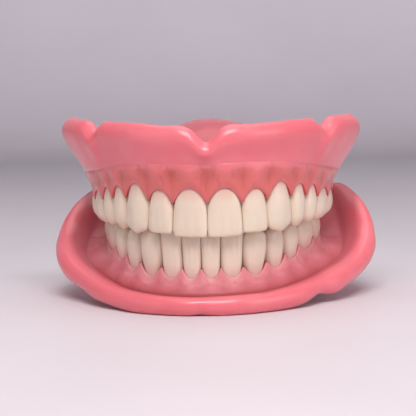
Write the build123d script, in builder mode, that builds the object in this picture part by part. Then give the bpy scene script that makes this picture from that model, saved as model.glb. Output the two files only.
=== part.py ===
"""Complete denture set: a lower denture standing on its borders and an upper denture resting on its teeth.

Each denture is an opaque acrylic base, a translucent gum band laid on it, and fourteen teeth set in the band.
Millimetres, +Z up, front of the mouth towards -Y, origin on the table under the middle of the set.
The patient's right is at -X. An arc is a length along a dental arch from its midline, negative on the
patient's right, and "out" is a distance outwards from the faces of the teeth.
"""

import os
from math import cos, exp, hypot, pi, sin

from build123d import *

# ---------------------------------------------------------------- driving dimensions
MIDLINE_X = -0.6  # midline of the upper denture
FRONT_Y = -26.8  # labial face of the upper central incisors

UPPER_ARCH = (30.5, 40.0)  # half width and depth of the ellipse along the faces of the teeth
LOWER_ARCH = (27.5, 38.0)
LOWER_SETBACK = 2.8  # lower incisors stand this far behind the upper ones
LOWER_SHIFT = -0.6  # ... and the lower denture sits this far to the patient's right of the upper one
LOWER_YAW = -2.8  # the lower denture sits turned under the upper one, degrees
LOWER_YAW_CENTRE = 26.0  # ... about a point this far behind FRONT_Y

CONTACT_GAP = 0.16  # between neighbouring teeth
TAPER = 1.12  # how much faster than the arch's own radius the teeth narrow inwards
ROOT_TO_CREST = 0.9  # tooth necks end this far short of the crest of the base
CUSP_DEPTH = 1.7  # depth of the groove between the cusps of premolars and molars
CUSP_TIPS = (0.13, 0.87)  # where the two rows of cusps end, as shares of the thickness
TOOTH_SECTION_POINTS = 12  # in each level section of a tooth
TOOTH_CORNERS = (1, 5, 7, 11)  # at which of these points a section has its line angles

# Teeth from the midline backwards:
# name, shape, width, thickness, height of the biting edge, height of the gum margin
UPPER_TEETH = (
    ("central_incisor", "incisor", 8.6, 5.6, 18.0, 29.5),
    ("lateral_incisor", "incisor", 6.8, 5.4, 18.8, 29.0),
    ("canine", "canine", 7.9, 6.6, 18.4, 30.3),
    ("first_premolar", "grinder", 6.2, 8.4, 18.8, 29.3),
    ("second_premolar", "grinder", 6.2, 8.6, 19.1, 28.6),
    ("first_molar", "grinder", 9.2, 9.8, 19.2, 27.2),
    ("second_molar", "grinder", 8.4, 9.4, 19.5, 26.6),
)
LOWER_TEETH = (
    ("central_incisor", "incisor", 4.8, 5.0, 19.2, 7.9),
    ("lateral_incisor", "incisor", 5.7, 5.2, 19.2, 7.9),
    ("canine", "canine", 6.8, 5.8, 19.6, 8.2),
    ("first_premolar", "grinder", 6.5, 7.0, 19.7, 9.4),
    ("second_premolar", "grinder", 6.4, 7.4, 19.8, 11.0),
    ("first_molar", "grinder", 10.2, 8.8, 20.0, 12.4),
    ("second_molar", "grinder", 9.0, 8.6, 20.4, 13.2),
)
# Outline of each shape from the biting edge (0) to the gum margin (1):
# place, share of the width, share of the thickness, labial face out
TOOTH_SHAPES = {
    "incisor": (
        (0.0, 0.78, 0.13, -0.4),
        (0.04, 0.88, 0.26, 0.0),
        (0.16, 0.96, 0.36, 0.15),
        (0.42, 1.0, 0.66, 0.05),
        (0.75, 0.94, 0.96, -0.3),
        (1.0, 0.83, 1.0, -0.8),
    ),
    "canine": (
        (0.0, 0.2, 0.14, -0.5),
        (0.1, 0.62, 0.36, 0.0),
        (0.28, 0.95, 0.6, 0.2),
        (0.5, 1.0, 0.84, 0.15),
        (0.78, 0.95, 1.0, -0.2),
        (1.0, 0.84, 1.0, -0.7),
    ),
    "grinder": (
        (0.0, 0.6, 0.62, -1.5),
        (0.1, 0.84, 0.84, -0.7),
        (0.28, 0.98, 0.98, -0.1),
        (0.55, 1.0, 1.0, 0.0),
        (0.8, 0.95, 0.97, -0.2),
        (1.0, 0.86, 0.88, -0.7),
    ),
}
ROOT_SHAPE = (0.7, 0.74, -1.6)  # share of the width and of the thickness, and labial face out

# Base of the upper denture:
# arc, border centre out, border top, border radius, ledge out, ledge height, crest height
UPPER_BASE = (
    (0.0, 0.8, 44.4, 1.9, 1.3, 35.1, 32.9),
    (12.0, 0.9, 44.5, 1.9, 1.3, 35.0, 32.9),
    (22.0, 0.8, 44.9, 2.0, 1.2, 34.5, 33.0),
    (30.0, 1.2, 44.9, 2.0, 1.2, 33.8, 32.4),
    (38.0, 3.7, 45.0, 2.2, 1.6, 32.8, 31.2),
    (47.0, 5.2, 45.1, 2.3, 2.0, 31.4, 30.2),
    (54.0, 4.8, 43.4, 2.3, 2.0, 30.6, 29.6),
    (59.0, 3.2, 40.0, 2.1, 1.2, 30.4, 29.4),
    (62.5, 1.0, 36.6, 1.6, 0.0, 30.8, 30.0),
)
# Notches that clear the frena in the upper border: arc, depth, half width
UPPER_NOTCHES = ((0.0, 4.2, 2.8), (32.6, 2.6, 2.0), (-32.6, 2.6, 2.0))

# Base of the lower denture, from the patient's right to the left:
# arc, border centre out, border centre height, border radius, crest height, groove height,
# lingual border out, lingual border height
LOWER_BASE = (
    (-67.0, 1.6, 24.2, 1.8, 24.6, 22.9, -7.4, 20.2),
    (-62.0, 5.2, 22.4, 2.6, 20.9, 18.6, -10.8, 12.8),
    (-56.0, 8.4, 18.0, 2.9, 14.6, 12.6, -12.4, 4.0),
    (-48.0, 10.1, 12.2, 3.0, 10.6, 9.0, -12.6, -0.3),
    (-40.0, 9.3, 8.8, 3.0, 9.6, 7.8, -12.0, -0.3),
    (-29.0, 6.0, 4.5, 2.8, 8.0, 6.1, -10.2, 0.0),
    (-16.0, 4.5, 2.4, 2.5, 6.2, 4.5, -8.6, 0.7),
    (0.0, 4.6, 2.0, 2.35, 6.0, 4.3, -8.4, 1.2),
    (16.0, 4.2, 2.4, 2.5, 6.2, 4.5, -8.6, 0.7),
    (29.0, 5.8, 3.9, 2.8, 7.8, 5.9, -10.2, 0.0),
    (39.0, 8.8, 6.7, 3.0, 9.0, 7.2, -12.0, -0.3),
    (47.0, 10.9, 10.4, 3.1, 10.2, 8.4, -12.6, -0.3),
    (54.0, 10.6, 15.8, 3.0, 13.0, 11.0, -12.4, 2.6),
    (62.0, 7.4, 21.6, 2.7, 20.3, 18.0, -10.8, 12.4),
    (67.0, 3.4, 24.2, 1.9, 24.6, 22.9, -7.4, 20.2),
)
# Notches in the lower border, which lift its underside: arc, depth, half width
LOWER_NOTCHES = ((0.5, 0.6, 1.4), (27.0, 1.4, 2.4), (-30.0, 0.5, 2.6))

# Palate of the upper denture: arc at its edges, height of its edges, height of its vault
PALATE = (
    (4.0, 36.2, 36.4),
    (12.0, 35.3, 37.8),
    (20.0, 34.5, 39.9),
    (28.0, 33.7, 41.6),
    (36.0, 33.0, 42.2),
    (45.0, 32.5, 41.9),
    (57.0, 32.5, 40.4),
)
PALATE_EDGE_OUT = -9.4
PALATE_THICKNESS = 2.2
PALATE_SHOULDER = (0.55, 0.72)  # shares of the half width and of the rise where the vault rounds over

# Arcs of the sections that each base is lofted through, the same on both sides
UPPER_STATIONS = (0, 1.5, 3, 5, 8, 12, 17, 22, 27, 30, 32.6, 35, 38, 41, 45, 50, 55, 59, 62.5)
LOWER_STATIONS = (0, 1.6, 3.5, 7, 12, 17, 22, 25, 28, 31, 35, 40, 45, 50, 55, 60, 64, 67)

# Gum bands: how far the papillae reach between the teeth, how deep the grooves between the roots are,
# and how far the bands run on behind the last teeth
UPPER_PAPILLA = 3.4
LOWER_PAPILLA = 2.6
GUM_GROOVE = 0.7
UPPER_GUM_TAIL = 3.4
LOWER_GUM_TAIL = 3.0


# ---------------------------------------------------------------- the dental arches
def arc_steps(half_width, depth, count=240):
    """Arc lengths from the front of an ellipse to its side, at equal steps of the angle."""
    steps = [0.0]
    for i in range(count):
        angle = (i + 0.5) * pi / 2 / count
        speed = hypot(half_width * cos(angle), depth * sin(angle))
        steps.append(steps[-1] + speed * pi / 2 / count)
    return steps


class Arch:
    """Curve along the outer faces of the teeth: half an ellipse, with straight legs behind it."""

    def __init__(self, size, midline, front, yaw):
        self.half_width, self.depth = size
        self.midline = midline
        self.front = front
        self.yaw = yaw
        self.steps = arc_steps(*size)

    def place(self, arc):
        """Point on the curve at an arc length, and the outward direction there."""
        side = -1 if arc < 0 else 1
        distance = abs(arc)
        legs = max(0.0, distance - self.steps[-1])
        distance = min(distance, self.steps[-1])
        after = next(i for i, s in enumerate(self.steps[1:], 1) if s >= distance)
        before = self.steps[after - 1]
        share = (distance - before) / (self.steps[after] - before)
        angle = (after - 1 + share) * pi / 2 / (len(self.steps) - 1)
        point = Vector(
            self.midline + side * self.half_width * sin(angle),
            self.front + self.depth * (1 - cos(angle)) + legs,
        )
        outward = Vector(side * sin(angle) / self.half_width, -cos(angle) / self.depth).normalized()
        centre = Vector(self.midline, FRONT_Y + LOWER_YAW_CENTRE)
        return (point - centre).rotate(Axis.Z, self.yaw) + centre, outward.rotate(Axis.Z, self.yaw)

    def upright_plane(self, arc):
        """Plane across the arch: x is out and y is the height above the table."""
        point, outward = self.place(arc)
        return Plane(origin=point, x_dir=outward, z_dir=outward.cross(Vector(0, 0, 1)))

    def level_plane(self, arc, height):
        """Level plane at a tooth: x is along the arch and y is out."""
        point, outward = self.place(arc)
        origin = point + Vector(0, 0, height)
        return Plane(origin=origin, x_dir=outward.cross(Vector(0, 0, 1)), z_dir=(0, 0, 1))

    def bend(self, arc):
        """Curvature of the arch at a tooth, per millimetre."""
        _, before = self.place(arc - 1)
        _, after = self.place(arc + 1)
        return before.get_angle(after) * pi / 180 / 2


upper_arch = Arch(UPPER_ARCH, MIDLINE_X, FRONT_Y, 0.0)
lower_arch = Arch(LOWER_ARCH, MIDLINE_X + LOWER_SHIFT, FRONT_Y + LOWER_SETBACK, LOWER_YAW)


def row_at(table, arc):
    """Row of a station table at an arc; a table that starts at the midline serves both sides."""
    if table[0][0] >= 0:
        arc = abs(arc)
    arc = min(max(arc, table[0][0]), table[-1][0])
    low, high = next(pair for pair in zip(table, table[1:]) if arc <= pair[1][0])
    share = (arc - low[0]) / (high[0] - low[0])
    return [a + (b - a) * share for a, b in zip(low[1:], high[1:])]


def notch_depth(notches, arc):
    """How deep the notches cut at an arc."""
    return sum(depth * exp(-(((arc - at) / half) ** 2)) for at, depth, half in notches)


def shared_parameters(outlines, start, end):
    """Spline parameters for one stretch of all the outlines, spaced as their points are on average."""
    lengths = [0.0]
    for i in range(start, end):
        steps = [
            (Vector(*points[(i + 1) % len(points)]) - Vector(*points[i % len(points)])).length
            for points in outlines
        ]
        lengths.append(lengths[-1] + sum(steps))
    return [length / lengths[-1] for length in lengths]


def loft_sections(sections, corners):
    """Solid through closed outlines, each given as a plane and its points.

    Each outline is split into smooth edges at the same corners, so that the loft matches them one to one.
    """
    outlines = [points for _, points in sections]
    count = len(outlines[0])
    spans = list(zip(corners, corners[1:] + (corners[0] + count,)))
    parameters = [shared_parameters(outlines, start, end) for start, end in spans]
    with BuildPart() as solid:
        for plane, points in sections:
            with BuildSketch(plane):
                with BuildLine():
                    for (start, end), shared in zip(spans, parameters):
                        span = [points[i % count] for i in range(start, end + 1)]
                        add(Edge.make_spline(span, parameters=shared))
                make_face()
        loft()
    return solid.part


# ---------------------------------------------------------------- teeth
def tooth_outline(width, thickness, labial, bend):
    """Level section of a tooth: a rounded box that follows the arch and narrows inwards with it."""
    points = []
    for i in range(TOOTH_SECTION_POINTS):
        angle = 2 * pi * i / TOOTH_SECTION_POINTS
        along, across = cos(angle), sin(angle)
        fill = (along**4 + across**4) ** -0.25
        out = labial - thickness / 2 + thickness / 2 * across * fill
        x = width / 2 * along * fill * (1 + TAPER * bend * out)
        points.append((x, out - bend * x * x / 2))
    return points


def make_tooth(arch, arc, row, crest):
    """One tooth from its biting edge to its neck, which ends short of the crest of the base."""
    _, shape, width, thickness, edge, margin = row
    width -= CONTACT_GAP
    bend = arch.bend(arc)
    upwards = 1 if margin > edge else -1
    sections = []
    for place, wide, thick, labial in TOOTH_SHAPES[shape]:
        height = edge + (margin - edge) * place
        outline = tooth_outline(width * wide, thickness * thick, labial, bend)
        sections.append((arch.level_plane(arc, height), outline))
    wide, thick, labial = ROOT_SHAPE
    outline = tooth_outline(width * wide, thickness * thick, labial, bend)
    sections.append((arch.level_plane(arc, crest - upwards * ROOT_TO_CREST), outline))
    crown = loft_sections(sections, TOOTH_CORNERS)
    if shape != "grinder":
        return crown
    buccal, lingual = CUSP_TIPS
    with BuildPart() as grooved:
        add(crown)
        with BuildSketch(arch.upright_plane(arc)):
            with BuildLine():
                Polyline(
                    (-buccal * thickness, edge - 0.3 * upwards),
                    (-0.5 * thickness, edge + CUSP_DEPTH * upwards),
                    (-lingual * thickness, edge - 0.1 * upwards),
                    (-lingual * thickness, edge - 2 * upwards),
                    (-buccal * thickness, edge - 2 * upwards),
                    close=True,
                )
            make_face()
        extrude(amount=width, both=True, mode=Mode.SUBTRACT)
    return grooved.part


def make_teeth(arch, jaw, rows, crests, crest_column):
    """All the teeth of one jaw, by name."""
    teeth = {}
    for side, side_name in ((-1, "right"), (1, "left")):
        arc = 0.0
        for row in rows:
            middle = side * (arc + row[2] / 2)
            arc += row[2]
            crest = row_at(crests, middle)[crest_column]
            teeth[f"{jaw}_{side_name}_{row[0]}"] = make_tooth(arch, middle, row, crest)
    return teeth


upper_teeth = make_teeth(upper_arch, "upper", UPPER_TEETH, UPPER_BASE, 5)
lower_teeth = make_teeth(lower_arch, "lower", LOWER_TEETH, LOWER_BASE, 3)


# ---------------------------------------------------------------- bases
def upper_base_outline(arc):
    """Section of the upper base: labial flange with its rolled border, ridge trough and palatal wall."""
    border, top, radius, ledge_out, ledge, crest = row_at(UPPER_BASE, arc)
    top -= notch_depth(UPPER_NOTCHES, arc)
    flange = top - radius - ledge
    return [
        (ledge_out, ledge),
        (ledge_out + 0.62 * (border + radius - ledge_out), ledge + 0.5 * flange),
        (border + radius, ledge + flange),
        (border, top),
        (border - radius, ledge + flange - 0.1),
        (ledge_out - 2.6 + 0.4 * (border - radius), ledge + 0.45 * flange),
        (-2.0, ledge + 0.6),
        (-4.6, ledge - 0.2),
        (-7.6, ledge + 0.9),
        (-9.6, ledge + 2.7),
        (-10.6, ledge + 2.5),
        (-10.0, ledge - 0.4),
        (-8.4, crest - 0.1),
        (-4.6, crest - 0.4),
        (-0.6, crest + 0.2),
    ]


def lower_base_outline(arc):
    """Section of the lower base: labial flange with its rolled border, crest and lingual flange."""
    border, height, radius, crest, groove, lingual, lingual_height = row_at(LOWER_BASE, arc)
    notch = notch_depth(LOWER_NOTCHES, arc)
    height += notch / 2
    radius -= notch / 2
    reach = border - radius
    return [
        (border, height - radius),
        (border + 0.75 * radius, height - 0.7 * radius),
        (border + radius, height),
        (border + 0.6 * radius, height + 0.8 * radius),
        (border - 0.3 * radius, height + 0.9 * radius),
        (0.75 * reach - 0.5, 0.5 * (crest + height + 0.3 * radius)),
        (-1.2, crest),
        (-5.2, crest),
        (lingual + 1.4, crest - 0.8),
        (lingual - 0.2, 0.5 * (crest + lingual_height)),
        (lingual, lingual_height + 0.9),
        (lingual + 1.1, lingual_height),
        (lingual + 2.3, lingual_height + 1.0),
        (lingual + 2.6, 0.45 * groove + 0.55 * lingual_height + 0.6),
        (-4.6, groove),
        (-1.6, groove - 0.2),
        (0.7 * reach, 0.5 * (groove + height - radius) + 0.2),
    ]


def both_sides(stations):
    """Stations of one side and their mirror images, in order along the arch."""
    return [-arc for arc in reversed(stations) if arc] + list(stations)


def palate_section(arc, edge, vault):
    """Plane across the palate at an arc, and the curve of its underside from edge to edge."""
    point, outward = upper_arch.place(-arc)
    edge_point = point + outward * PALATE_EDGE_OUT
    half = MIDLINE_X - edge_point.X
    plane = Plane(origin=(MIDLINE_X, edge_point.Y, 0), x_dir=(1, 0, 0), z_dir=(0, -1, 0))
    across, up = PALATE_SHOULDER
    shoulder = (across * half, edge + up * (vault - edge))
    under = [(-half, edge), (-shoulder[0], shoulder[1]), (0, vault), shoulder, (half, edge)]
    return plane, under


horseshoe = loft_sections(
    [(upper_arch.upright_plane(arc), upper_base_outline(arc)) for arc in both_sides(UPPER_STATIONS)],
    (0, 4, 9, 12),
)
with BuildPart() as palate:
    for row in PALATE:
        plane, under = palate_section(*row)
        over = [(x, y + PALATE_THICKNESS) for x, y in under]
        with BuildSketch(plane):
            with BuildLine():
                Spline(*under)
                Line(under[-1], over[-1])
                Spline(*over)
                Line(over[0], under[0])
            make_face()
    loft()

with BuildPart() as upper_base:
    add(horseshoe)
    add(palate.part)

with BuildPart() as lower_base:
    add(
        loft_sections(
            [(lower_arch.upright_plane(arc), lower_base_outline(arc)) for arc in both_sides(LOWER_STATIONS)],
            (0, 5, 11, 14),
        )
    )
    split(bisect_by=Plane.XY, keep=Keep.TOP)


# ---------------------------------------------------------------- gum bands
def upper_gum_outline(arc, margin, thickness, between):
    """Section of the upper gum band: from the gum margin up its outer face to the ledge and down inside."""
    _, _, _, ledge_out, ledge, crest = row_at(UPPER_BASE, arc)
    recess = GUM_GROOVE * between
    return [
        (0.1 - recess, margin),
        (0.7 - recess, margin + 1.2),
        (0.5 * ledge_out + 0.5 - 0.6 * recess, 0.45 * margin + 0.55 * ledge),
        (ledge_out - 0.2, ledge - 0.4),
        (ledge_out - 0.8, ledge + 0.5),
        (-4.0, crest + 0.9),
        (-7.6, crest + 0.7),
        (-9.6, ledge - 1.0),
        (-9.4, 0.5 * (margin + ledge) - 0.4),
        (-thickness - 0.9 + recess, margin - 0.4),
        (-0.66 * thickness, margin + 0.1),
        (-0.33 * thickness, margin + 0.3),
    ]


def lower_gum_outline(arc, margin, thickness, between):
    """Section of the lower gum band: from the gum margin down its outer face to the roll and up inside."""
    border, height, radius, crest, _, lingual, lingual_height = row_at(LOWER_BASE, arc)
    reach = max(border - radius, 1.6)
    saddle = 0.5 * (crest + height + 0.3 * radius)
    recess = GUM_GROOVE * between
    margin = max(margin, saddle + 1.4)
    return [
        (0.2 - recess, margin),
        (0.8 - recess, margin - 1.0),
        (0.45 * reach + 0.5, 0.55 * margin + 0.45 * saddle - 0.2),
        (0.75 * reach + 0.9, saddle + 0.25),
        (0.7 * reach, saddle - 0.9),
        (-2.4, crest - 1.0),
        (lingual + 2.0, crest - 1.6),
        (lingual + 0.2, crest - 0.8),
        (lingual + 0.7, 0.5 * (crest + margin) + 0.2),
        (-thickness - 1.0 + recess, margin - 0.1),
        (-0.66 * thickness, margin - 0.1),
        (-0.33 * thickness, margin - 0.3),
    ]


def gum_stations(rows, papilla, sign, tail):
    """Sections of a gum band, at the middles and the contacts of the teeth and at its ends.

    Each is an arc, the height of the gum margin, the thickness of the teeth and the share of a contact.
    The papillae get shorter towards the back. The sign is +1 where they point upwards.
    """
    stations = []
    arc = 0.0
    for i, row in enumerate(rows):
        _, _, width, thickness, _, margin = row
        low, high = arc, arc + width
        after = rows[min(i + 1, len(rows) - 1)]
        contact_margin = 0.5 * (margin + after[5]) + sign * papilla * (1 - 0.07 * i)
        if i == 0:
            stations.append((0.0, margin + sign * papilla, thickness, 1.0))
        stations.append((0.5 * (low + high), margin, thickness, 0.0))
        if i < len(rows) - 1:
            stations.append((high, contact_margin, 0.5 * (thickness + after[3]), 1.0))
        arc = high
    stations.append((arc + 0.4, margin + sign * 1.2, thickness, 0.6))
    stations.append((arc + tail, margin, thickness * 0.9, 0.4))
    mirrored = [(-station[0],) + station[1:] for station in reversed(stations[1:])]
    return mirrored + stations


with BuildPart() as upper_gingiva:
    add(
        loft_sections(
            [
                (upper_arch.upright_plane(station[0]), upper_gum_outline(*station))
                for station in gum_stations(UPPER_TEETH, UPPER_PAPILLA, -1, UPPER_GUM_TAIL)
            ],
            (0, 3, 7, 9),
        )
    )
    add(upper_base.part, mode=Mode.SUBTRACT)
    for tooth in upper_teeth.values():
        add(tooth, mode=Mode.SUBTRACT)

with BuildPart() as lower_gingiva:
    add(
        loft_sections(
            [
                (lower_arch.upright_plane(station[0]), lower_gum_outline(*station))
                for station in gum_stations(LOWER_TEETH, LOWER_PAPILLA, 1, LOWER_GUM_TAIL)
            ],
            (0, 3, 7, 9),
        )
    )
    add(lower_base.part, mode=Mode.SUBTRACT)
    for tooth in lower_teeth.values():
        add(tooth, mode=Mode.SUBTRACT)


# ---------------------------------------------------------------- pieces
def main_solid(piece):
    """The largest solid of a piece: the gum band itself, without crumbs that the teeth cut off it."""
    return piece.part.solids().sort_by(SortBy.VOLUME)[-1]


os.makedirs("parts", exist_ok=True)
pieces = {
    "upper_base": upper_base.part,
    "upper_gingiva": main_solid(upper_gingiva),
    "lower_base": lower_base.part,
    "lower_gingiva": main_solid(lower_gingiva),
    **upper_teeth,
    **lower_teeth,
}
for name, piece in pieces.items():
    piece.label = name
    export_step(piece, f"parts/{name}.step")
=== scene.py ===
"""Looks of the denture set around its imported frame: gum bands, teeth and bases as finished meshes.

Sizes are in millimetres and turned to metres where a mesh is made. An arc is a length along a dental arch
from its midline, negative on the patient's right (-X); "out" is a distance outwards from the tooth faces.
"""

import math

import bmesh
import bpy
import numpy as np
from mathutils import Matrix, Vector
from mathutils.kdtree import KDTree


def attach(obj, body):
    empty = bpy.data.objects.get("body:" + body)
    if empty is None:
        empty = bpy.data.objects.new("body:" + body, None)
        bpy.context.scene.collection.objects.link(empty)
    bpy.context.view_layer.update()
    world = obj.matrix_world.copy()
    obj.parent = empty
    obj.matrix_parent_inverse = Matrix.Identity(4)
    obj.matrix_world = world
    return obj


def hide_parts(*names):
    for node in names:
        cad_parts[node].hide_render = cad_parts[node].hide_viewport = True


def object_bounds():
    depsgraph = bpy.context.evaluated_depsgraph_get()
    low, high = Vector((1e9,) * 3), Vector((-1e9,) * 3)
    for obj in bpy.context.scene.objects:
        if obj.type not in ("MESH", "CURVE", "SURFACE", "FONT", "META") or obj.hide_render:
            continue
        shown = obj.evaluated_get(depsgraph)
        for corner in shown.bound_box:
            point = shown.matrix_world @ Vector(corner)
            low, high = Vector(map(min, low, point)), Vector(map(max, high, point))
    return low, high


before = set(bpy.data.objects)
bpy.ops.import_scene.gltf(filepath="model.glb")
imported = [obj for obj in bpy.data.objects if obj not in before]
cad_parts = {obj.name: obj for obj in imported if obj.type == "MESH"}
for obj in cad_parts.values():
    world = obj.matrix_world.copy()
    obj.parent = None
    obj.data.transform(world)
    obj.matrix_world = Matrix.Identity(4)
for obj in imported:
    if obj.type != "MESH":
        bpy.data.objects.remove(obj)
cad_box = [list(corner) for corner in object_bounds()]

MM = 0.001

# ---------------------------------------------------------------- the denture set, as in the CAD model
MIDLINE_X = -0.6
FRONT_Y = -26.8
UPPER_ARCH = (30.5, 40.0)
LOWER_ARCH = (27.5, 38.0)
LOWER_SETBACK = 2.8
LOWER_SHIFT = -0.6
LOWER_YAW = -2.8
LOWER_YAW_CENTRE = 26.0
CONTACT_GAP = 0.04
TAPER = 1.12

# name, shape, width, thickness, height of the biting edge, height of the gum margin
UPPER_TEETH = (
    ("central_incisor", "incisor", 8.6, 5.6, 18.0, 29.5),
    ("lateral_incisor", "incisor", 6.8, 5.4, 18.8, 29.0),
    ("canine", "canine", 7.9, 6.6, 18.4, 30.3),
    ("first_premolar", "premolar", 6.2, 8.4, 18.8, 29.3),
    ("second_premolar", "premolar", 6.2, 8.6, 19.1, 28.6),
    ("first_molar", "molar", 9.2, 9.8, 19.2, 27.2),
    ("second_molar", "molar", 8.4, 9.4, 19.5, 26.6),
)
LOWER_TEETH = (
    ("central_incisor", "lower_incisor", 4.8, 5.0, 19.2, 7.9),
    ("lateral_incisor", "lower_incisor", 5.7, 5.2, 19.2, 7.9),
    ("canine", "canine", 6.8, 5.8, 19.6, 8.2),
    ("first_premolar", "premolar", 6.5, 7.0, 19.7, 9.4),
    ("second_premolar", "premolar", 6.4, 7.4, 19.8, 11.0),
    ("first_molar", "molar", 10.2, 8.8, 20.0, 12.4),
    ("second_molar", "molar", 9.0, 8.6, 20.4, 13.2),
)

# Where the gum bands meet the bases. Upper: arc, ledge out, ledge height, crest height
UPPER_LEDGE = (
    (0.0, 1.3, 35.1, 32.9),
    (12.0, 1.3, 35.0, 32.9),
    (22.0, 1.2, 34.5, 33.0),
    (30.0, 1.2, 33.8, 32.4),
    (38.0, 1.6, 32.8, 31.2),
    (47.0, 2.0, 31.4, 30.2),
    (54.0, 2.0, 30.6, 29.6),
    (59.0, 1.2, 30.4, 29.4),
)
# Lower: arc, border centre out, border centre height, border radius, crest height, lingual border out
LOWER_BORDER = (
    (-56.0, 8.4, 18.0, 2.9, 14.6, -12.4),
    (-48.0, 10.1, 12.2, 3.0, 10.6, -12.6),
    (-40.0, 9.3, 8.8, 3.0, 9.6, -12.0),
    (-29.0, 6.0, 4.5, 2.8, 8.0, -10.2),
    (-16.0, 4.5, 2.4, 2.5, 6.2, -8.6),
    (0.0, 4.6, 2.0, 2.35, 6.0, -8.4),
    (16.0, 4.2, 2.4, 2.5, 6.2, -8.6),
    (29.0, 5.8, 3.9, 2.8, 7.8, -10.2),
    (39.0, 8.8, 6.7, 3.0, 9.0, -12.0),
    (47.0, 10.9, 10.4, 3.1, 10.2, -12.6),
    (54.0, 10.6, 15.8, 3.0, 13.0, -12.4),
)


def smooth_table(table, places):
    """Columns of a table at the given places, on smooth curves through its rows."""
    table = np.array(table, dtype=float)
    at, values = table[:, 0], table[:, 1:]
    slopes = np.gradient(values, at, axis=0)
    places = np.clip(np.asarray(places, dtype=float), at[0], at[-1])
    low = np.clip(np.searchsorted(at, places, side="right") - 1, 0, len(at) - 2)
    step = (at[low + 1] - at[low])[..., None]
    t = (places - at[low])[..., None] / step
    start = (1 + 2 * t) * (1 - t) ** 2 * values[low] + t * (1 - t) ** 2 * step * slopes[low]
    end = t * t * (3 - 2 * t) * values[low + 1] + t * t * (t - 1) * step * slopes[low + 1]
    return (start + end).T


class Arch:
    """Curve along the outer faces of the teeth: half an ellipse, with straight legs behind it."""

    def __init__(self, size, midline, front, yaw):
        half_width, depth = size
        angles = np.linspace(0, math.pi / 2, 2001)
        speed = np.hypot(half_width * np.cos(angles), depth * np.sin(angles))
        self.steps = np.concatenate([[0], np.cumsum((speed[1:] + speed[:-1]) / 2 * np.diff(angles))])
        self.angles = angles
        self.half_width, self.depth = half_width, depth
        self.midline, self.front = midline, front
        self.yaw = math.radians(yaw)

    def place(self, arc):
        """Points on the curve (x, y) and outward directions (x, y) at arc lengths."""
        arc = np.asarray(arc, dtype=float)
        side = np.where(arc < 0, -1.0, 1.0)
        distance = np.abs(arc)
        legs = np.maximum(0, distance - self.steps[-1])
        angle = np.interp(distance, self.steps, self.angles)
        x = side * self.half_width * np.sin(angle)
        y = self.front - FRONT_Y - LOWER_YAW_CENTRE + self.depth * (1 - np.cos(angle)) + legs
        out_x = side * np.sin(angle) / self.half_width
        out_y = -np.cos(angle) / self.depth
        size = np.hypot(out_x, out_y)
        out_x, out_y = out_x / size, out_y / size
        cos, sin = math.cos(self.yaw), math.sin(self.yaw)
        x, y = x * cos - y * sin + self.midline, x * sin + y * cos + FRONT_Y + LOWER_YAW_CENTRE
        return (x, y), (out_x * cos - out_y * sin, out_x * sin + out_y * cos)

    def bend(self, arc):
        """Curvature of the arch, per millimetre."""
        _, (x0, y0) = self.place(arc - 1)
        _, (x1, y1) = self.place(arc + 1)
        return abs(math.asin(max(-1, min(1, x0 * y1 - y0 * x1)))) / 2


upper_arch = Arch(UPPER_ARCH, MIDLINE_X, FRONT_Y, 0)
lower_arch = Arch(LOWER_ARCH, MIDLINE_X + LOWER_SHIFT, FRONT_Y + LOWER_SETBACK, LOWER_YAW)


# ---------------------------------------------------------------- meshes
def grid_faces(rows, columns):
    """Quads between the points of a grid whose columns close on themselves."""
    faces = []
    for row in range(rows - 1):
        here, above = row * columns, (row + 1) * columns
        for column in range(columns):
            after = (column + 1) % columns
            faces.append((here + column, here + after, above + after, above + column))
    return faces


def mesh_piece(name, points, faces, material, tone=None):
    """Smooth-shaded piece from points in millimetres, with an optional tone from 0 to 1 at each point."""
    mesh = bpy.data.meshes.new(name)
    mesh.from_pydata((np.asarray(points) * MM).tolist(), [], faces)
    mesh.validate()
    if tone is not None:
        layer = mesh.attributes.new("tone", "FLOAT", "POINT")
        layer.data.foreach_set("value", np.asarray(tone, dtype=np.float32))
    piece = bpy.data.objects.new(name, mesh)
    bpy.context.collection.objects.link(piece)
    mesh.materials.append(material)
    turn_faces_outwards(mesh)
    mesh.shade_smooth()
    return piece


def turn_faces_outwards(mesh):
    """Makes all faces of a mesh look outwards."""
    editable = bmesh.new()
    editable.from_mesh(mesh)
    bmesh.ops.recalc_face_normals(editable, faces=editable.faces)
    editable.to_mesh(mesh)
    editable.free()


def capped(points, faces, rows, columns):
    """Closes both ends of a tube-like grid with fans."""
    points = list(points)
    first = np.mean(points[:columns], axis=0)
    last = np.mean(points[(rows - 1) * columns : rows * columns], axis=0)
    points += [first, last]
    start = (rows - 1) * columns
    for column in range(columns):
        after = (column + 1) % columns
        faces.append((len(points) - 2, after, column))
        faces.append((len(points) - 1, start + column, start + after))
    return np.array(points), faces


# ---------------------------------------------------------------- materials
def new_material(name):
    """Node material with its shader, and a helper that adds nodes to it."""
    material = bpy.data.materials.new(name)
    material.use_nodes = True
    nodes, links = material.node_tree.nodes, material.node_tree.links
    shader = nodes["Principled BSDF"]

    def add(kind, inputs=None, **settings):
        node = nodes.new(kind)
        for key, value in settings.items():
            setattr(node, key, value)
        for key, value in (inputs or {}).items():
            if isinstance(value, bpy.types.NodeSocket):
                links.new(value, node.inputs[key])
            else:
                node.inputs[key].default_value = value
        return node

    return material, shader, links, add


def ramp(add, factor, stops):
    """Colour ramp over (place, colour) stops."""
    node = add("ShaderNodeValToRGB", {"Fac": factor})
    elements = node.color_ramp.elements
    elements[0].position, elements[0].color = stops[0][0], (*stops[0][1], 1)
    elements[1].position, elements[1].color = stops[-1][0], (*stops[-1][1], 1)
    for place, colour in stops[1:-1]:
        elements.new(place).color = (*colour, 1)
    return node.outputs["Color"]


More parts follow.
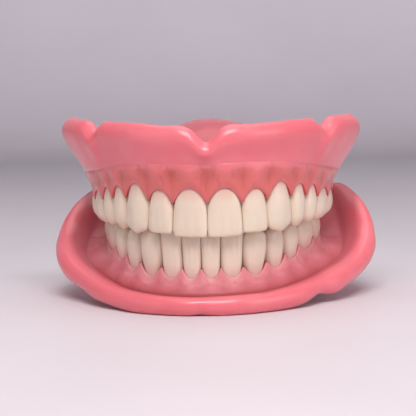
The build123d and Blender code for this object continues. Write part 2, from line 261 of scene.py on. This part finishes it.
def noise(add, scale, detail=3.0, roughness=0.5, stretch=None):
    """Noise over object space, with a scale in cycles per metre."""
    place = add("ShaderNodeTexCoord").outputs["Object"]
    if stretch:
        place = add("ShaderNodeMapping", {"Vector": place, "Scale": stretch}).outputs["Vector"]
    node = add(
        "ShaderNodeTexNoise", {"Vector": place, "Scale": scale, "Detail": detail, "Roughness": roughness}
    )
    return node.outputs["Fac"]


def mix_colour(add, factor, a, b, blend="MIX"):
    """Colour a towards colour b."""
    node = add("ShaderNodeMix", data_type="RGBA", blend_type=blend)
    links = node.id_data.links
    for socket, value in ((node.inputs[0], factor), (node.inputs[6], a), (node.inputs[7], b)):
        if isinstance(value, bpy.types.NodeSocket):
            links.new(value, socket)
        else:
            socket.default_value = value if isinstance(value, float) else (*value, 1)
    return node.outputs[2]


def bump(add, shader, links, height, strength, distance):
    """Fine relief on a shader."""
    node = add("ShaderNodeBump", {"Height": height, "Strength": strength, "Distance": distance})
    links.new(node.outputs["Normal"], shader.inputs["Normal"])


def set_inputs(shader, **values):
    """Sets shader sockets by name, with underscores for spaces."""
    for key, value in values.items():
        shader.inputs[key.replace("_", " ")].default_value = value


# Roughness of the acrylics. Below about 0.27 an uneven gloss shows as wriggly marks.
POLISHED = 0.3
WORN = 0.4


def uneven_gloss(add, scale, dullness=0.0):
    """Roughness that drifts between polished and worn."""
    polished, worn = POLISHED + dullness, WORN + dullness
    return ramp(add, noise(add, scale, 2, 0.5), ((0.3, (polished,) * 3), (0.7, (worn,) * 3)))


def drifting_tone(add, cloud, amount):
    """The tone of a mesh, unsettled by clouds of noise."""
    tone = add("ShaderNodeAttribute", attribute_name="tone").outputs["Fac"]
    drift = add("ShaderNodeMath", {0: cloud, 1: 0.5}, operation="SUBTRACT").outputs[0]
    return add("ShaderNodeMath", {0: drift, 1: amount, 2: tone}, operation="MULTIPLY_ADD").outputs[0]


def streaked(add, colour, fibres, start, end, strength, tint):
    """A colour with faint streaks of a tint, which come in as the noise of the fibres passes start to end."""
    shown = ramp(add, fibres, ((start, (0, 0, 0)), (end, (1, 1, 1))))
    faint = add("ShaderNodeMath", {0: shown, 1: strength}, operation="MULTIPLY").outputs[0]
    return mix_colour(add, faint, colour, tint)


def base_acrylic():
    """Opaque salmon-pink polished acrylic, a little mottled and handled, with painted shade on its unpolished
    fitting side and in the trough of the lower roll.
    """
    material, shader, links, add = new_material("base_acrylic")
    mottle = ((0.3, (0.83, 0.165, 0.205)), (0.55, (0.86, 0.185, 0.225)), (0.75, (0.89, 0.21, 0.25)))
    colour = ramp(add, noise(add, 90, 4, 0.55), mottle)
    dull_and_shaded = add("ShaderNodeAttribute", attribute_name="dull_and_shaded").outputs["Fac"]
    # Painted shade: where the base is unpolished, its colour darkens as well as roughening
    colour = mix_colour(add, dull_and_shaded, colour, (0.56, 0.10, 0.125))
    links.new(colour, shader.inputs["Base Color"])
    gloss = uneven_gloss(add, 120)
    gloss = add("ShaderNodeMath", {0: dull_and_shaded, 1: 0.2, 2: gloss}, operation="MULTIPLY_ADD").outputs[0]
    links.new(gloss, shader.inputs["Roughness"])
    set_inputs(shader, Subsurface_Weight=0.3, Subsurface_Radius=(1.0, 0.35, 0.28), Subsurface_Scale=0.0022)
    set_inputs(shader, Coat_Weight=0.5, Coat_Roughness=0.2, IOR=1.49)
    bump(add, shader, links, noise(add, 420, 3, 0.5), 0.05, 0.0002)
    return material


def gum_acrylic(name, shades, dullness=0.0):
    """Deeper, more translucent red-pink acrylic, paler at its free margin; paler over the roots as a painted
    highlight, and darker between the teeth and in the lower band's crease against the roll as painted shade.
    """
    material, shader, links, add = new_material(name)
    tone = drifting_tone(add, noise(add, 170, 4, 0.55), 0.35)
    colour = ramp(add, tone, tuple(zip((0.0, 0.35, 0.7, 1.0), shades)))
    veins = noise(add, 420, 5, 0.62, (1.0, 1.0, 0.3))
    colour = streaked(add, colour, veins, 0.56, 0.66, 0.2, (0.42, 0.03, 0.04))
    links.new(colour, shader.inputs["Base Color"])
    links.new(uneven_gloss(add, 140, dullness), shader.inputs["Roughness"])
    set_inputs(shader, Subsurface_Weight=0.45, Subsurface_Radius=(1.0, 0.28, 0.22), Subsurface_Scale=0.0028)
    set_inputs(shader, Coat_Weight=0.4 - 2 * dullness, Coat_Roughness=0.12, IOR=1.49)
    bump(add, shader, links, noise(add, 520, 3, 0.5), 0.05, 0.0002)
    return material


def tooth_acrylic():
    """Layered ivory tooth acrylic, warmer and pinker towards the neck."""
    material, shader, links, add = new_material("tooth_acrylic")
    tone = drifting_tone(add, noise(add, 240, 3, 0.5), 0.07)
    colour = ramp(add, tone, TOOTH_SHADES)
    growth_lines = noise(add, 900, 3, 0.5, (1.0, 1.0, 0.12))
    colour = streaked(add, colour, growth_lines, 0.45, 0.75, 0.05, (0.86, 0.78, 0.68))
    links.new(colour, shader.inputs["Base Color"])
    links.new(uneven_gloss(add, 200), shader.inputs["Roughness"])
    set_inputs(shader, Subsurface_Weight=0.35, Subsurface_Radius=(1.0, 0.7, 0.5), Subsurface_Scale=0.0016)
    set_inputs(shader, Coat_Weight=0.25, Coat_Roughness=0.15, IOR=1.5)
    bump(add, shader, links, noise(add, 700, 3, 0.5, (1.0, 1.0, 0.5)), 0.05, 0.00015)
    return material


# Colours of the gum, from its recesses to its free margin; the darker end paints shade in the recesses
# between the teeth and in the crease against the lower roll
UPPER_GUM_SHADES = ((0.54, 0.085, 0.08), (0.70, 0.14, 0.13), (0.79, 0.185, 0.185), (0.85, 0.20, 0.235))
LOWER_GUM_SHADES = ((0.42, 0.055, 0.065), (0.55, 0.12, 0.14), (0.64, 0.17, 0.20), (0.78, 0.33, 0.34))
LOWER_GUM_DULLNESS = 0.17
# Colours of a tooth, from its biting edge to its neck
TOOTH_SHADES = (
    (0.0, (0.76, 0.64, 0.50)),
    (0.1, (0.80, 0.68, 0.53)),
    (0.3, (0.81, 0.68, 0.545)),
    (0.7, (0.80, 0.655, 0.54)),
    (1.0, (0.76, 0.44, 0.38)),
)

BASE = base_acrylic()
UPPER_GUM = gum_acrylic("upper_gum_acrylic", UPPER_GUM_SHADES)
LOWER_GUM = gum_acrylic("lower_gum_acrylic", LOWER_GUM_SHADES, LOWER_GUM_DULLNESS)
TOOTH = tooth_acrylic()


# ---------------------------------------------------------------- teeth
# Each shape from the biting edge (0) past the gum margin (1) to the root:
# place, share of the width, labial face out, share of the thickness
PROFILES = {
    "incisor": (
        (0.0, 0.93, -0.15, 0.2),
        (0.12, 0.98, 0.08, 0.3),
        (0.32, 1.0, 0.2, 0.5),
        (0.55, 1.0, 0.16, 0.8),
        (0.8, 0.95, -0.1, 0.98),
        (1.0, 0.8, -0.5, 1.0),
        (1.22, 0.56, -1.4, 0.85),
    ),
    "lower_incisor": (
        (0.0, 0.98, -0.2, 0.24),
        (0.12, 1.0, 0.05, 0.36),
        (0.32, 1.0, 0.12, 0.6),
        (0.55, 1.0, 0.1, 0.86),
        (0.8, 0.98, -0.1, 1.0),
        (1.0, 0.86, -0.4, 1.0),
        (1.22, 0.56, -1.2, 0.85),
    ),
    "canine": (
        (0.0, 0.8, -0.4, 0.2),
        (0.12, 0.92, 0.1, 0.42),
        (0.32, 1.0, 0.35, 0.68),
        (0.55, 0.98, 0.4, 0.9),
        (0.8, 0.84, 0.05, 1.0),
        (1.0, 0.66, -0.4, 1.0),
        (1.22, 0.56, -1.3, 0.85),
    ),
    "premolar": (
        (0.0, 0.76, -1.35, 0.66),
        (0.12, 0.92, -0.55, 0.86),
        (0.32, 1.0, 0.05, 1.0),
        (0.55, 0.98, 0.2, 1.0),
        (0.8, 0.84, -0.1, 0.93),
        (1.0, 0.7, -0.5, 0.86),
        (1.22, 0.6, -1.2, 0.74),
    ),
    "molar": (
        (0.0, 0.84, -1.4, 0.7),
        (0.12, 0.94, -0.55, 0.87),
        (0.32, 1.0, 0.05, 1.0),
        (0.55, 0.99, 0.2, 1.0),
        (0.8, 0.9, -0.1, 0.95),
        (1.0, 0.8, -0.5, 0.88),
        (1.22, 0.7, -1.2, 0.76),
    ),
}
# Corners of the biting edge: height over which they round, share of the half width taken; mesial, distal
CORNERS = {
    "incisor": ((0.05, 0.10), (0.12, 0.18)),
    "lower_incisor": ((0.04, 0.08), (0.06, 0.10)),
    "canine": ((0.1, 0.16), (0.14, 0.22)),
    "premolar": ((0.08, 0.1), (0.1, 0.12)),
    "molar": ((0.08, 0.08), (0.1, 0.1)),
}
# Cusps: how far the edge rises away from a tip, mesial and distal
TIP_RISE = {"incisor": (0.05, 0.25), "lower_incisor": (0.0, 0.1), "canine": (1.3, 1.7)}
TOOTH_RING = 56  # points in a ring
EDGE_ROUNDING = 0.05  # place where a biting edge reaches its full thickness
CUSP_FADE = 0.3  # place where the cusps have died out
# Places of the rings: close together at the biting edge, then even to the root
RING_PLACES = np.concatenate([[0, 0.004, 0.012, 0.025, 0.045, 0.07], np.linspace(0.1, 1.22, 22)])
CHEWING_SHARES = (0.03, 0.12, 0.22, 0.33, 0.45, 0.57, 0.69, 0.8, 0.9, 0.96)
# Relief of the outer and inner faces
INCISOR_GROOVES = 0.12
CANINE_RIDGE = 0.28
PREMOLAR_RIDGE = 0.15
MOLAR_GROOVE = 0.42
MOLAR_INNER_GROOVE = 0.35


def bell(value, width):
    """Smooth bump, 1 at zero."""
    return np.exp(-((value / width) ** 2))


def angle_from(angle, centre):
    """Difference of angles in degrees, from -180 to 180."""
    return (angle - centre + 180) % 360 - 180


def cusp_dip(shape, angle):
    """How far the rim of a chewing surface lies back from its cusp tips, by angle from mesial, in degrees."""
    if shape == "premolar":
        mesial, distal = bell(angle_from(angle, 0), 52), bell(angle_from(angle, 180), 52)
        return 1.5 * mesial + 1.6 * distal
    ends = 1.0 * bell(angle_from(angle, 0), 34) + 1.1 * bell(angle_from(angle, 180), 34)
    return ends + 0.7 * bell(angle_from(angle, 88), 15) + 0.8 * bell(angle_from(angle, 270), 15)


def tooth_rings(shape, width, thickness, length, bend):
    """Rings of a tooth in its own space: x towards the midline, y out, z from the biting edge to the root."""
    angle = np.arange(TOOTH_RING) * 360 / TOOTH_RING
    cos, sin = np.cos(np.radians(angle)), np.sin(np.radians(angle))
    grinder = shape in ("premolar", "molar")
    power = np.where(sin > 0, 3.0, 2.5)
    fill = (np.abs(cos) ** power + np.abs(sin) ** power) ** (-1 / power)
    wide, labial, thick = smooth_table(PROFILES[shape], RING_PLACES)
    rings, tones = [], []
    for place, share, out, depth in zip(RING_PLACES, wide, labial, thick):
        rounding = 1.0
        if not grinder and place < EDGE_ROUNDING:
            rounding = 0.3 + 0.7 * math.sqrt(1 - (1 - place / EDGE_ROUNDING) ** 2)
        elif grinder and place < 2 * EDGE_ROUNDING:
            rounding = 0.9 + 0.1 * math.sqrt(1 - (1 - place / (2 * EDGE_ROUNDING)) ** 2)
        depth = depth * thickness
        y = out - depth / 2 + rounding * depth / 2 * sin * fill
        half = width / 2 * share * np.ones(TOOTH_RING)
        for side, (height, taken) in ((1, CORNERS[shape][0]), (-1, CORNERS[shape][1])):
            if place < height:
                cut = 1 - math.sqrt(1 - (1 - place / height) ** 2)
                half = np.where(cos * side > 0, half * (1 - taken * cut), half)
        x = half * cos * fill * (1 + TAPER * bend * y)
        front = np.clip(sin, 0, 1)
        across = x / (width / 2)
        low = math.exp(-(((place - 0.3) / 0.3) ** 2))
        if shape in ("incisor", "lower_incisor"):
            y = y - front * low * INCISOR_GROOVES * (bell(across - 0.3, 0.13) + bell(across + 0.28, 0.13))
        elif shape == "canine":
            y = y + front * low * (CANINE_RIDGE * bell(across - 0.05, 0.35) - 0.1)
        elif shape == "molar":
            y = y - front * low * MOLAR_GROOVE * bell(across + 0.04, 0.12)
            y = y + np.clip(-sin, 0, 1) * low * MOLAR_INNER_GROOVE * bell(across, 0.14)
        else:
            y = y + front * low * (PREMOLAR_RIDGE * bell(across, 0.4) - 0.05)
        y = y - bend * x * x / 2
        z = place * length * np.ones(TOOTH_RING)
        fade = max(0.0, 1 - place / CUSP_FADE) ** 2
        if grinder:
            z = z + cusp_dip(shape, angle) * fade
        else:
            mesial, distal = TIP_RISE[shape]
            z = z + np.where(across > 0, mesial, distal) * np.abs(across) ** 1.3 * fade
        rings.append(np.stack([x, y, z], axis=1))
        tones.append(np.full(TOOTH_RING, min(1.0, 0.04 + 0.92 * place)))
    return rings, tones, angle


def chewing_rings(shape, rim, angle):
    """Rings from the middle of a chewing surface out to its rim."""
    centre = rim.mean(axis=0)
    rings, tones = [], []
    grooves = bell(angle_from(angle, 0), 16) + bell(angle_from(angle, 180), 16)
    if shape == "molar":
        grooves = grooves + bell(angle_from(angle, 88), 14) + bell(angle_from(angle, 270), 14)
    for share in CHEWING_SHARES:
        ring = centre + (rim - centre) * share
        slope = 1.75 * (1 - share**1.5)
        ring[:, 2] = rim[:, 2] * share**1.3 + slope + 0.3 * grooves * share * (1 - share) * 3
        rings.append(ring)
        tones.append(np.full(TOOTH_RING, 0.12 + 0.5 * (1 - share)))
    return rings, tones


def tooth_piece(arch, name, arc, row):
    """One tooth, set on its arch."""
    _, shape, width, thickness, edge, margin = row
    bend = arch.bend(arc)
    rings, tones, angle = tooth_rings(shape, width - CONTACT_GAP, thickness, abs(margin - edge), bend)
    if shape in ("premolar", "molar"):
        inner, inner_tones = chewing_rings(shape, rings[0], angle)
        rings, tones = inner + rings, inner_tones + tones
    points = np.concatenate(rings)
    tone = np.concatenate(tones + [tones[0][:1], tones[-1][:1]])
    points, faces = capped(points, grid_faces(len(rings), TOOTH_RING), len(rings), TOOTH_RING)
    (x, y), (out_x, out_y) = arch.place(arc)
    towards_midline = 1 if arc > 0 else -1
    upwards = 1 if margin > edge else -1
    along = points[:, 0] * towards_midline
    placed = np.stack(
        [
            x + along * out_y + points[:, 1] * out_x,
            y - along * out_x + points[:, 1] * out_y,
            edge + upwards * points[:, 2],
        ],
        axis=1,
    )
    return mesh_piece(name, placed, faces, TOOTH, tone)


def make_teeth(arch, jaw, rows):
    """All the teeth of one jaw."""
    for side, side_name in ((-1, "right"), (1, "left")):
        arc = 0.0
        for row in rows:
            middle = side * (arc + row[2] / 2)
            arc += row[2]
            node = f"{jaw}_{side_name}_{row[0]}"
            piece = tooth_piece(arch, f"{node}_crown", middle, row)
            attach(piece, jaw)
            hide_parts(node)


make_teeth(upper_arch, "upper", UPPER_TEETH)
make_teeth(lower_arch, "lower", LOWER_TEETH)


# ---------------------------------------------------------------- gum bands
def closed_curve(points, count):
    """Evenly numbered points on a smooth closed curve through the given ones (last axis is x, y)."""
    size = points.shape[0]
    at = np.arange(count) * size / count
    low = np.floor(at).astype(int)
    t = (at - low)[:, None]
    if points.ndim == 3:
        t = t[:, :, None]
    before, start, end, after = (points[(low + k) % size] for k in (-1, 0, 1, 2))
    return 0.5 * (
        2 * start
        + (end - before) * t
        + (2 * before - 5 * start + 4 * end - after) * t**2
        + (3 * start - before - 3 * end + after) * t**3
    )


GUM_ARCH_POWER = {-1: 2.1, 1: 2.2}  # how round the gum's arches are: upper, lower
UPPER_PAPILLA = 3.9  # how far the gum reaches between the teeth
LOWER_PAPILLA = 2.6
PAPILLA_SHRINK = 0.06  # share by which each papilla is shorter than the one before it
GUM_FADE = 3.0  # length over which the arches of the gum die out behind the last tooth
UPPER_GUM_TAIL = 3.0  # how far a band runs on behind the last tooth
LOWER_GUM_TAIL = 3.6
GUM_STEP = 0.35
GUM_RING = 72  # points in a section
GUM_END = 4.0  # length over which the ends of a band round off
GUM_CORE = slice(7, 10)  # points of a section deep inside the base


def gum_state(rows, arcs, papilla, sign):
    """Gum at each arc: height of its margin without and with papillae, and thickness of the teeth.

    Then how close the arc is to a contact, and how close to the middle of a tooth.
    """
    edges = np.concatenate([[0], np.cumsum([row[2] for row in rows])])
    distance = np.abs(arcs)
    index = np.clip(np.searchsorted(edges, distance, side="right") - 1, 0, len(rows) - 1)
    middle = (edges[index] + edges[index + 1]) / 2
    half = (edges[index + 1] - edges[index]) / 2
    across = np.clip((distance - middle) / half, -1, 1.15)
    margins = np.array([row[5] for row in rows])
    depths = np.array([row[3] for row in rows])
    beside = np.clip(index + np.where(across > 0, 1, -1), 0, len(rows) - 1)
    share = np.abs(across) / 2
    margin = margins[index] * (1 - share) + margins[beside] * share
    depth = depths[index] * (1 - share) + depths[beside] * share
    reach = papilla * (1 - PAPILLA_SHRINK * index)
    ends = np.clip((distance - edges[-1]) / GUM_FADE, 0, 1)
    near = np.abs(across) ** GUM_ARCH_POWER[sign] * (1 - ends)
    tip = margin + sign * reach * near
    return margin, tip, depth, np.clip(near, 0, 1), bell(across, 0.55) * (1 - ends)


def gum_piece(name, arch, rows, tail, outline, material):
    """Gum band of one jaw as one closed mesh; outline gives the section's points at every arc."""
    end = sum(row[2] for row in rows) + tail
    count = int(2 * end / GUM_STEP)
    arcs = np.linspace(-end, end, count)
    points, tone = outline(arcs)
    past = np.clip((np.abs(arcs) - end + GUM_END) / GUM_END, 0, 1)
    shrink = np.sqrt(1.02 - past**2)[:, None]
    middle = points[GUM_CORE].mean(axis=0)
    points = middle + (points - middle) * np.minimum(shrink, 1)
    curve = closed_curve(points, GUM_RING)
    tones = closed_curve(np.repeat(tone[:, :, None], 2, axis=2), GUM_RING)[:, :, 0]
    (x, y), (out_x, out_y) = arch.place(arcs)
    out, height = curve[:, :, 0], curve[:, :, 1]
    placed = np.stack([x + out * out_x, y + out * out_y, height], axis=2).transpose(1, 0, 2).reshape(-1, 3)
    tones = np.clip(tones.T.reshape(-1), 0, 1)
    placed, faces = capped(placed, grid_faces(count, GUM_RING), count, GUM_RING)
    return mesh_piece(name, placed, faces, material, np.concatenate([tones, tones[:2]]))


def beyond(arcs, start, length):
    """From 0 to 1 along both sides of an arch, over a length that begins at a distance from the midline."""
    return np.clip((np.abs(arcs) - start) / length, 0, 1)


def gum_section(arcs, points, tones, hidden_tone):
    """Section points (point, arc, out and height) and their tones. Points without one get the hidden tone."""
    everywhere = np.ones(len(arcs))
    tones = [*tones] + [hidden_tone] * (len(points) - len(tones))
    section = [np.stack([out * everywhere, height * everywhere], axis=1) for out, height in points]
    return np.array(section), np.array([tone * everywhere for tone in tones])


def upper_gum_outline(arcs):
    """Section of the upper gum band at each arc, and its tones."""
    ledge_out, ledge, crest = smooth_table(UPPER_LEDGE, np.abs(arcs))
    margin, tip, depth, near, root = gum_state(UPPER_TEETH, arcs, UPPER_PAPILLA, -1)
    relief = 1 - 0.6 * beyond(arcs, 14, 20)
    root, recess = root * relief, 0.45 * near * relief
    tuck = 0.4 * beyond(arcs, 22, 16)
    back = beyond(arcs, 42, 10)
    rise = ledge - margin
    points = [
        (-0.35 - recess, tip + 0.05),
        (0.05 - recess, tip + 0.35),
        (0.4 - recess + 0.05 * root, 0.8 * tip + 0.2 * margin + 1.3),
        (0.5 - recess + 0.25 * root, margin + 0.4 * rise),
        (0.45 * ledge_out + 0.3 - 0.7 * recess + 0.55 * root, margin + 0.72 * rise),
        (ledge_out - 0.1 - tuck - 0.1 * recess + 0.24 * root, ledge - 0.6),
        (ledge_out - 0.15 - tuck, ledge + 0.5),
        (ledge_out - 1.3, ledge + 1.2),
        (-4.0, crest + 0.8 - 1.2 * back),
        (-7.6, crest + 0.6 - 1.2 * back),
        (-9.4, ledge - 1.2 - 1.2 * back),
        (-9.3, 0.5 * (tip + ledge) - 0.4),
        (-depth - 0.9 + recess, tip + 0.5),
        (-depth - 0.5 + recess, tip - 0.3),
        (-0.66 * depth, tip + 0.4),
        (-0.33 * depth, tip + 0.5),
    ]
    # Painted light in the tone: darker between the teeth as painted shade, paler over the roots as a painted
    # highlight
    body = 0.42 + 0.22 * root - 0.2 * near
    tones = (0.8 - 0.4 * near, 0.7 - 0.4 * near, 0.5, body, body + 0.15, 0.9, 1.0)
    return gum_section(arcs, points, tones, 0.4)


def lower_gum_outline(arcs):
    """Section of the lower gum band at each arc, and its tones."""
    border, height, radius, crest, lingual = smooth_table(LOWER_BORDER, arcs)
    margin, tip, depth, near, root = gum_state(LOWER_TEETH, arcs, LOWER_PAPILLA, 1)
    saddle = 0.5 * (crest + height + 0.3 * radius)
    margin = np.maximum(margin, saddle + 1.4)
    tip = np.maximum(tip, saddle + 1.4)
    reach = np.maximum(border - radius, 1.6)
    recess = 0.4 * near
    points = [
        (-0.3 - recess, tip + 0.05),
        (0.1 - recess, tip - 0.35),
        (0.5 - 0.8 * recess + 0.08 * root, 0.6 * tip + 0.4 * margin - 1.1),
        (0.25 * reach + 0.6 - 0.3 * recess + 0.1 * root, 0.7 * margin + 0.3 * saddle - 0.5),
        (0.5 * reach + 0.75, 0.4 * margin + 0.6 * saddle - 0.2),
        (0.78 * reach + 0.8, saddle + 0.2),
        (0.85 * reach + 0.3, saddle - 0.9),
        (-2.4, crest - 1.0),
        (lingual + 2.0, crest - 1.6),
        (lingual + 0.2, crest - 0.8),
        (lingual + 0.7, 0.5 * (crest + tip) + 0.2),
        (-depth - 1.0 + recess, tip - 0.5),
        (-depth - 0.5 + recess, tip + 0.2),
        (-0.66 * depth, tip - 0.4),
        (-0.33 * depth, tip - 0.5),
    ]
    # Painted shade: darker between the teeth, and the point against the roll at 0.15 paints the shade of that
    # crease; paler over the roots as a painted highlight
    body = 0.45 + 0.15 * root - 0.1 * near
    tones = (0.95 - 0.1 * near, 0.9 - 0.1 * near, 0.8, body + 0.2, body, 0.15)
    return gum_section(arcs, points, tones, 0.1)


GUMS = (
    ("upper", upper_arch, UPPER_TEETH, UPPER_GUM_TAIL, upper_gum_outline, UPPER_GUM),
    ("lower", lower_arch, LOWER_TEETH, LOWER_GUM_TAIL, lower_gum_outline, LOWER_GUM),
)
for jaw, arch, rows, tail, outline, material in GUMS:
    band = gum_piece(f"{jaw}_gum_band", arch, rows, tail, outline, material)
    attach(band, jaw)
    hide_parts(f"{jaw}_gingiva")


# ---------------------------------------------------------------- bases
BASE_VOXEL = 0.42 * MM
POLISH_PASSES = 10
WAVE_LENGTH = 0.011
WAVE_HEIGHT = 0.55 * MM
WAVE_LEVEL = 0.55  # height of the noise that leaves the surface where it is


def dullness_and_shade_of(jaw, places, normals):
    """Where a base isn't polished, from 0 to 1, which is also where its colour is darkened as painted shade.

    That is the fitting side of the upper, and the trough inside the roll of the lower.
    """
    arch = upper_arch if jaw == "upper" else lower_arch
    arcs = np.linspace(-72, 72, 577)  # the whole arch, every quarter of a millimetre
    (x, y), (out_x, out_y) = arch.place(arcs)
    tree = KDTree(len(arcs))
    for i, point in enumerate(zip(x, y)):
        tree.insert((*point, 0), i)
    tree.balance()
    nearest = np.array([tree.find((px, py, 0))[1] for px, py in places[:, :2]])
    out = (places[:, 0] - x[nearest]) * out_x[nearest] + (places[:, 1] - y[nearest]) * out_y[nearest]
    if jaw == "upper":
        inside = np.clip((-1.0 - out) / 2, 0, 1)
    else:
        border, _, radius, _, _ = smooth_table(LOWER_BORDER, arcs[nearest])
        inside = np.clip((border - 0.15 * radius - out) / (0.6 * radius), 0, 1)
        inside = inside * np.clip((out + 7) / 2, 0, 1)
    return inside * np.clip(2 * normals[:, 2] + 0.3, 0, 1)


def softened_base(jaw):
    """The base as one moulded and hand-polished skin, made from its CAD solid."""
    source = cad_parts[f"{jaw}_base"]
    piece = bpy.data.objects.new(f"{jaw}_denture_base", source.data.copy())
    bpy.context.collection.objects.link(piece)
    remesh = piece.modifiers.new("remesh", "REMESH")
    remesh.mode = "VOXEL"
    remesh.voxel_size = BASE_VOXEL
    polish = piece.modifiers.new("polish", "SMOOTH")
    polish.factor = 0.5
    polish.iterations = POLISH_PASSES
    waves = bpy.data.textures.new(f"{jaw}_waves", "CLOUDS")
    waves.noise_scale = WAVE_LENGTH
    waves.noise_depth = 1
    uneven = piece.modifiers.new("uneven", "DISPLACE")
    uneven.texture = waves
    uneven.texture_coords = "LOCAL"
    uneven.strength = WAVE_HEIGHT
    uneven.mid_level = WAVE_LEVEL
    depsgraph = bpy.context.evaluated_depsgraph_get()
    mesh = bpy.data.meshes.new_from_object(piece.evaluated_get(depsgraph))
    piece.modifiers.clear()
    piece.data = mesh
    low, high = (np.array(corner) for corner in cad_box)
    places = np.empty(len(mesh.vertices) * 3)
    mesh.vertices.foreach_get("co", places)
    places = np.clip(places.reshape(-1, 3), low, high)
    mesh.vertices.foreach_set("co", places.reshape(-1))
    normals = np.empty(len(mesh.vertices) * 3)
    mesh.vertices.foreach_get("normal", normals)
    # The same share darkens the base colour as painted shade
    dull_and_shaded = mesh.attributes.new("dull_and_shaded", "FLOAT", "POINT")
    dull_and_shaded.data.foreach_set("value", dullness_and_shade_of(jaw, places / MM, normals.reshape(-1, 3)).astype(np.float32))
    mesh.materials.clear()
    mesh.materials.append(BASE)
    mesh.shade_smooth()
    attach(piece, jaw)
    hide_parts(f"{jaw}_base")


softened_base("upper")
softened_base("lower")


# ---------------------------------------------------------------- stage, lights and camera
# Floor and backdrop, in metres
FLOOR_FRONT = -0.9
FLOOR_BACK = 0.55
SWEEP_RADIUS = 0.25
SWEEP_TOP = 1.3
SWEEP_HALF_WIDTH = 1.2
# Painted light and shade on the floor, from 0.2 m in front of the dentures' middle to 0.9 m behind it: a dark
# band near the foot of the backdrop, paler in front and up the backdrop
FLOOR_LIGHT_AND_SHADE = (
    (0.0, (0.78, 0.70, 0.745)),
    (0.19, (0.70, 0.645, 0.685)),
    (0.58, (0.38, 0.355, 0.39)),
    (0.88, (0.92, 0.84, 0.93)),
)


def backdrop():
    """Pale floor that curves up into a backdrop far behind the dentures, with painted light and shade along
    its depth.
    """
    material, shader, links, add = new_material("studio_floor")
    place = add("ShaderNodeTexCoord").outputs["Object"]
    depth = add("ShaderNodeSeparateXYZ", {"Vector": place}).outputs["Y"]
    depth = add("ShaderNodeMapRange", {"Value": depth, "From Min": -0.2, "From Max": 0.9}).outputs["Result"]
    # The floor's colour changes with depth as painted light and shade
    tint = ramp(add, depth, FLOOR_LIGHT_AND_SHADE)
    grain = ramp(add, noise(add, 14, 2, 0.5), ((0.3, (0.96, 0.96, 0.96)), (0.7, (1, 1, 1))))
    links.new(mix_colour(add, 1.0, tint, grain, "MULTIPLY"), shader.inputs["Base Color"])
    shader.inputs["Roughness"].default_value = 0.55
    profile = [(FLOOR_FRONT, 0.0), (FLOOR_BACK, 0.0)]
    for angle in np.linspace(0.1, math.pi / 2, 12):
        back = FLOOR_BACK + SWEEP_RADIUS * math.sin(angle)
        profile.append((back, SWEEP_RADIUS - SWEEP_RADIUS * math.cos(angle)))
    profile.append((FLOOR_BACK + SWEEP_RADIUS, SWEEP_TOP))
    sides = (-SWEEP_HALF_WIDTH, SWEEP_HALF_WIDTH)
    points = [(x / MM, y / MM, z / MM) for y, z in profile for x in sides]
    faces = [(2 * i, 2 * i + 1, 2 * i + 3, 2 * i + 2) for i in range(len(profile) - 1)]
    floor = mesh_piece("studio_sweep", points, faces, material)


def softbox(name, place, target, width, height, power, colour=(1, 1, 1)):
    """Rectangular area light aimed at a point."""
    lamp = bpy.data.lights.new(name, "AREA")
    lamp.shape = "RECTANGLE"
    lamp.size, lamp.size_y = width, height
    lamp.energy = power
    lamp.color = colour
    lamp_object = bpy.data.objects.new(name, lamp)
    lamp_object.location = place
    aim = Vector(target) - Vector(place)
    lamp_object.rotation_euler = aim.to_track_quat("-Z", "Y").to_euler()
    bpy.context.collection.objects.link(lamp_object)


bpy.context.scene.view_settings.view_transform = "Standard"
backdrop()
MIDDLE = (0, 0, 0.022)
softbox("key", (0.05, -0.42, 0.6), MIDDLE, 0.5, 0.3, 4.25, (1.0, 0.98, 0.97))
softbox("fill_right", (0.6, -0.35, 0.25), MIDDLE, 0.4, 0.4, 0.95)
softbox("fill_left", (-0.6, -0.3, 0.25), MIDDLE, 0.3, 0.4, 0.32)
softbox("top", (0.0, 0.15, 0.7), MIDDLE, 0.6, 0.5, 1.4)

world = bpy.data.worlds.new("studio")
bpy.context.scene.world = world
world.use_nodes = True
surroundings = world.node_tree.nodes["Background"]
surroundings.inputs["Color"].default_value = (0.78, 0.74, 0.78, 1)
surroundings.inputs["Strength"].default_value = 0.27

CAMERA_DISTANCE = 0.4
CAMERA_AZIMUTH = math.radians(2.2)
CAMERA_ELEVATION = math.radians(6.0)
CAMERA_ROLL = math.radians(-1.0)
CAMERA_LENS = 148.85
CAMERA_SHIFT = 0.0024
camera = bpy.data.cameras.new("camera")
camera.lens = CAMERA_LENS
camera.sensor_width = 36
camera.shift_x = CAMERA_SHIFT
camera.dof.use_dof = False
camera_object = bpy.data.objects.new("camera", camera)
bpy.context.collection.objects.link(camera_object)
target = Vector((MIDLINE_X * MM, FRONT_Y * MM, 0.025))
back = Vector(
    (
        math.cos(CAMERA_ELEVATION) * math.sin(CAMERA_AZIMUTH),
        -math.cos(CAMERA_ELEVATION) * math.cos(CAMERA_AZIMUTH),
        math.sin(CAMERA_ELEVATION),
    )
)
camera_object.location = target + CAMERA_DISTANCE * back
upright = back.to_track_quat("Z", "Y")
camera_object.rotation_euler = (upright.to_matrix() @ Matrix.Rotation(CAMERA_ROLL, 3, "Z")).to_euler()
bpy.context.scene.camera = camera_object
